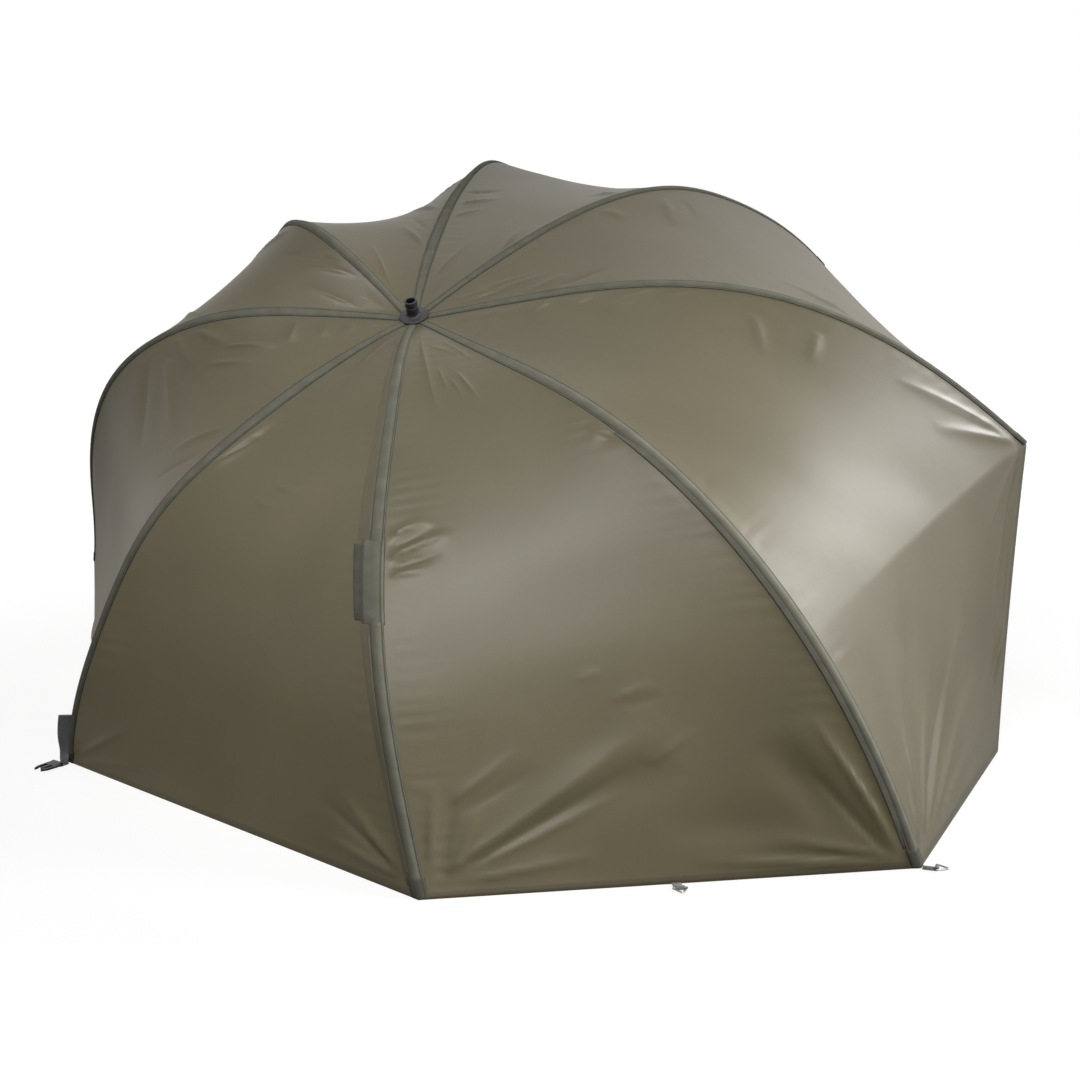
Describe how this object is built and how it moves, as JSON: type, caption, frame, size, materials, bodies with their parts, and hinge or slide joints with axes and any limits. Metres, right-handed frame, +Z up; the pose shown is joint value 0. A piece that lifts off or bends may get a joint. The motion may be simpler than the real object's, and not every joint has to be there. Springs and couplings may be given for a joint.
{
  "type": "fishing umbrella",
  "caption": "Tilted fishing umbrella shelter: ribs fold by a runner on a straight, tilting, telescopic pole; two cloth side wings reach the ground.",
  "frame": {"origin": "on the ground, under the middle of the umbrella's box as it stands", "axes": "+Z up, the open front faces -Y, the pole's foot lies towards -Y and the rear hem towards +Y"},
  "size_m": [2.033, 1.977, 1.1795],
  "materials": {
    "cloth": "coated khaki-olive polyester, slightly shiny",
    "tape": "woven binding tape",
    "black_plastic": "moulded, fine grain",
    "grey_plastic": "moulded",
    "painted_steel": "satin dark paint",
    "bright_steel": "plated",
    "rod": "fibreglass rod, smooth",
    "webbing": "ribbed dark grey webbing"
  },
  "bodies": {
    "crown": {"crown_cap": "black_plastic", "crown_hub": "black_plastic", "upper_pole": "painted_steel", "tilt_fork": "black_plastic", "tilt_pin": "bright_steel"},
    "rib_1": {"rib_1": "rod", "seam_tape_1": "tape"},
    "rib_2": {"rib_2": "rod", "seam_tape_2": "tape"},
    "rib_3": {"rib_3": "rod", "seam_tape_3": "tape"},
    "rib_4": {"rib_4": "rod", "seam_tape_4": "tape"},
    "rib_5": {"rib_5": "rod", "seam_tape_5": "tape", "peg_tab_side": "webbing"},
    "rib_6": {"rib_6": "rod", "seam_tape_6": "tape"},
    "rib_7": {"rib_7": "rod", "seam_tape_7": "tape", "corner_strap": "webbing", "corner_buckle": "black_plastic"},
    "rib_8": {"rib_8": "rod", "seam_tape_8": "tape"},
    "stretcher_1": {"stretcher_1": "rod"},
    "stretcher_2": {"stretcher_2": "rod"},
    "stretcher_3": {"stretcher_3": "rod"},
    "stretcher_4": {"stretcher_4": "rod"},
    "stretcher_5": {"stretcher_5": "rod"},
    "stretcher_6": {"stretcher_6": "rod"},
    "stretcher_7": {"stretcher_7": "rod"},
    "stretcher_8": {"stretcher_8": "rod"},
    "canopy_1": {"canopy_panel_1": "cloth"},
    "canopy_2": {"canopy_panel_2": "cloth"},
    "canopy_3": {"canopy_panel_3": "cloth"},
    "canopy_4": {"canopy_panel_4": "cloth"},
    "canopy_5": {"canopy_panel_5": "cloth", "peg_tab_rear": "webbing"},
    "canopy_6": {"canopy_panel_6": "cloth"},
    "canopy_7": {"canopy_panel_7": "cloth"},
    "canopy_8": {"canopy_panel_8": "cloth"},
    "runner": {"runner": "black_plastic"},
    "runner_button": {"runner_button": "grey_plastic"},
    "lower_pole": {"tilt_tongue": "black_plastic", "lower_pole": "painted_steel", "clamp_collar": "black_plastic"},
    "clamp_screw": {"clamp_screw": "black_plastic"},
    "pole_extension": {"extension_tube": "bright_steel", "ground_spike": "bright_steel"},
    "peg_ring_rear": {"peg_ring_rear": "bright_steel"},
    "peg_ring_side": {"peg_ring_side": "bright_steel"}
  },
  "joints": [
    {"name": "rib_6_fold", "type": "hinge", "parent": "crown", "child": "rib_6", "pos_m": [0.13332, 0.26667, 0.83288], "axis": [-0.9888, -0.1261, 0.0803], "range_deg": [0, 53.97]},
    {"name": "rib_1_fold", "type": "hinge", "parent": "crown", "child": "rib_1", "pos_m": [0.15432, 0.23731, 0.85158], "axis": [0.5934, 0.6788, -0.4325], "range_deg": [0, 57.87]},
    {"name": "rib_2_fold", "type": "hinge", "parent": "crown", "child": "rib_2", "pos_m": [0.1399, 0.22998, 0.85625], "axis": [0.9888, 0.1261, -0.0803], "range_deg": [0, 42.88]},
    {"name": "rib_3_fold", "type": "hinge", "parent": "crown", "child": "rib_3", "pos_m": [0.12355, 0.23339, 0.85408], "axis": [0.8049, -0.5005, 0.3188], "range_deg": [0, 47.8]},
    {"name": "rib_4_fold", "type": "hinge", "parent": "crown", "child": "rib_4", "pos_m": [0.11486, 0.24555, 0.84633], "axis": [0.1495, -0.8339, 0.5313], "range_deg": [0, 47.8]},
    {"name": "rib_5_fold", "type": "hinge", "parent": "crown", "child": "rib_5", "pos_m": [0.1189, 0.25934, 0.83755], "axis": [-0.5934, -0.6788, 0.4325], "range_deg": [0, 41.51]},
    {"name": "rib_7_fold", "type": "hinge", "parent": "crown", "child": "rib_7", "pos_m": [0.14966, 0.26326, 0.83505], "axis": [-0.8049, 0.5005, -0.3188], "range_deg": [0, 50.36]},
    {"name": "rib_8_fold", "type": "hinge", "parent": "crown", "child": "rib_8", "pos_m": [0.15836, 0.2511, 0.8428], "axis": [-0.1495, 0.8339, -0.5313], "range_deg": [0, 51.35]},
    {"name": "stretcher_1_swing", "type": "hinge", "parent": "rib_1", "child": "stretcher_1", "pos_m": [0.43892, 0.09587, 1.01456], "axis": [-0.5934, -0.6788, 0.4325], "range_deg": [0, 76.75]},
    {"name": "stretcher_2_swing", "type": "hinge", "parent": "rib_2", "child": "stretcher_2", "pos_m": [0.19969, -0.125, 1.01445], "axis": [-0.9888, -0.1261, 0.0803], "range_deg": [0, 73.8]},
    {"name": "stretcher_3_swing", "type": "hinge", "parent": "rib_3", "child": "stretcher_3", "pos_m": [-0.11033, -0.02607, 1.02839], "axis": [-0.8049, 0.5005, -0.3188], "range_deg": [0, 70.71]},
    {"name": "stretcher_4_swing", "type": "hinge", "parent": "rib_4", "child": "stretcher_4", "pos_m": [-0.27926, 0.21008, 0.90021], "axis": [-0.1495, 0.8339, -0.5313], "range_deg": [0, 67.84]},
    {"name": "stretcher_5_swing", "type": "hinge", "parent": "rib_5", "child": "stretcher_5", "pos_m": [-0.2443, 0.49983, 0.7193], "axis": [0.5934, 0.6788, -0.4325], "range_deg": [0, 58.29]},
    {"name": "stretcher_6_swing", "type": "hinge", "parent": "rib_6", "child": "stretcher_6", "pos_m": [0.07839, 0.55812, 0.64127], "axis": [0.9888, 0.1261, -0.0803], "range_deg": [0, 82.5]},
    {"name": "stretcher_7_swing", "type": "hinge", "parent": "rib_7", "child": "stretcher_7", "pos_m": [0.36538, 0.49381, 0.65577], "axis": [0.8049, -0.5005, 0.3188], "range_deg": [0, 80.89]},
    {"name": "stretcher_8_swing", "type": "hinge", "parent": "rib_8", "child": "stretcher_8", "pos_m": [0.52976, 0.30808, 0.83356], "axis": [0.1495, -0.8339, 0.5313], "range_deg": [0, 73.62]},
    {"name": "canopy_1_follow", "type": "hinge", "parent": "rib_1", "child": "canopy_1", "pos_m": [0.14649, 0.2409, 0.84199], "axis": [0.1436, -0.5792, 0.8024], "range_deg": [0, 40.01], "deforming": ["canopy_panel_1"]},
    {"name": "canopy_2_follow", "type": "hinge", "parent": "rib_2", "child": "canopy_2", "pos_m": [0.13257, 0.23978, 0.84222], "axis": [-0.0914, -0.5933, 0.7998], "range_deg": [0, 34.24], "deforming": ["canopy_panel_2"]},
    {"name": "canopy_3_follow", "type": "hinge", "parent": "rib_3", "child": "canopy_3", "pos_m": [0.13068, 0.24159, 0.84066], "axis": [-0.7924, -0.1996, 0.5764], "range_deg": [0, 35.68], "deforming": ["canopy_panel_3"]},
    {"name": "canopy_4_follow", "type": "hinge", "parent": "rib_4", "child": "canopy_4", "pos_m": [0.12923, 0.24363, 0.83995], "axis": [-0.8526, 0.5158, 0.0837], "range_deg": [0, 33.95], "deforming": ["canopy_panel_4"]},
    {"name": "canopy_5_follow", "type": "hinge", "parent": "rib_5", "child": "canopy_5", "pos_m": [0.13692, 0.25346, 0.83397], "axis": [-0.7227, 0.6909, -0.0205], "range_deg": [0, 37.47], "deforming": ["canopy_panel_5"]},
    {"name": "canopy_6_follow", "type": "hinge", "parent": "rib_6", "child": "canopy_6", "pos_m": [0.13702, 0.25125, 0.83418], "axis": [0.3029, 0.9459, -0.1164], "range_deg": [0, 38.89], "deforming": ["canopy_panel_6"]},
    {"name": "canopy_7_follow", "type": "hinge", "parent": "rib_7", "child": "canopy_7", "pos_m": [0.14329, 0.24746, 0.83665], "axis": [0.771, 0.6325, 0.0737], "range_deg": [0, 37.84], "deforming": ["canopy_panel_7"]},
    {"name": "canopy_8_follow", "type": "hinge", "parent": "rib_8", "child": "canopy_8", "pos_m": [0.14435, 0.24061, 0.84092], "axis": [0.9029, 0.1701, 0.3947], "range_deg": [0, 40.9], "deforming": ["canopy_panel_8"]},
    {"name": "runner_slide", "type": "slide", "parent": "crown", "child": "runner", "axis": [0, -0.5373, -0.8434], "range_m": [0, 0.425]},
    {"name": "runner_button_press", "type": "slide", "parent": "runner", "child": "runner_button", "axis": [0, 0.8434, -0.5373], "range_m": [0, 0.003], "stiffness_N_per_m": 400},
    {"name": "pole_tilt", "type": "hinge", "parent": "crown", "child": "lower_pole", "pos_m": [0.13661, 0.01997, 0.48612], "axis": [0.9707, -0.2026, 0.1291], "range_deg": [0, 30]},
    {"name": "clamp_screw_turn", "type": "hinge", "parent": "lower_pole", "child": "clamp_screw", "pos_m": [0.13661, -0.18321, 0.1672], "axis": [-0.2402, -0.8187, 0.5216], "range_deg": [0, 360]},
    {"name": "pole_extension_slide", "type": "slide", "parent": "lower_pole", "child": "pole_extension", "axis": [0, -0.5373, -0.8434], "range_m": [0, 0.28]},
    {"name": "peg_ring_rear_swing", "type": "hinge", "parent": "canopy_5", "child": "peg_ring_rear", "pos_m": [-0.49563, 0.84624, 0.0041], "axis": [0.9158, 0.4017, 0], "range_deg": [0, 100]},
    {"name": "peg_ring_side_swing", "type": "hinge", "parent": "rib_5", "child": "peg_ring_side", "pos_m": [-0.88494, 0.65982, 0.0041], "axis": [0.0523, 0.9986, 0], "range_deg": [0, 100]}
  ],
  "couplings": [
    {"joint": "rib_1_fold", "follows": "rib_6_fold", "ratio": 1.0722},
    {"joint": "rib_2_fold", "follows": "rib_6_fold", "ratio": 0.7946},
    {"joint": "rib_3_fold", "follows": "rib_6_fold", "ratio": 0.88576},
    {"joint": "rib_4_fold", "follows": "rib_6_fold", "ratio": 0.88574},
    {"joint": "rib_5_fold", "follows": "rib_6_fold", "ratio": 0.7691},
    {"joint": "rib_7_fold", "follows": "rib_6_fold", "ratio": 0.93318},
    {"joint": "rib_8_fold", "follows": "rib_6_fold", "ratio": 0.95151},
    {"joint": "stretcher_1_swing", "follows": "rib_6_fold", "ratio": 1.4222},
    {"joint": "stretcher_2_swing", "follows": "rib_6_fold", "ratio": 1.3674},
    {"joint": "stretcher_3_swing", "follows": "rib_6_fold", "ratio": 1.3103},
    {"joint": "stretcher_4_swing", "follows": "rib_6_fold", "ratio": 1.257},
    {"joint": "stretcher_5_swing", "follows": "rib_6_fold", "ratio": 1.0802},
    {"joint": "stretcher_6_swing", "follows": "rib_6_fold", "ratio": 1.5288},
    {"joint": "stretcher_7_swing", "follows": "rib_6_fold", "ratio": 1.4989},
    {"joint": "stretcher_8_swing", "follows": "rib_6_fold", "ratio": 1.3641},
    {"joint": "canopy_1_follow", "follows": "rib_6_fold", "ratio": 0.74134},
    {"joint": "canopy_2_follow", "follows": "rib_6_fold", "ratio": 0.63439},
    {"joint": "canopy_3_follow", "follows": "rib_6_fold", "ratio": 0.66111},
    {"joint": "canopy_4_follow", "follows": "rib_6_fold", "ratio": 0.62899},
    {"joint": "canopy_5_follow", "follows": "rib_6_fold", "ratio": 0.69439},
    {"joint": "canopy_6_follow", "follows": "rib_6_fold", "ratio": 0.72062},
    {"joint": "canopy_7_follow", "follows": "rib_6_fold", "ratio": 0.70117},
    {"joint": "canopy_8_follow", "follows": "rib_6_fold", "ratio": 0.75778},
    {"joint": "runner_slide", "follows": "rib_6_fold", "m_per_rad": 0.45121}
  ]
}
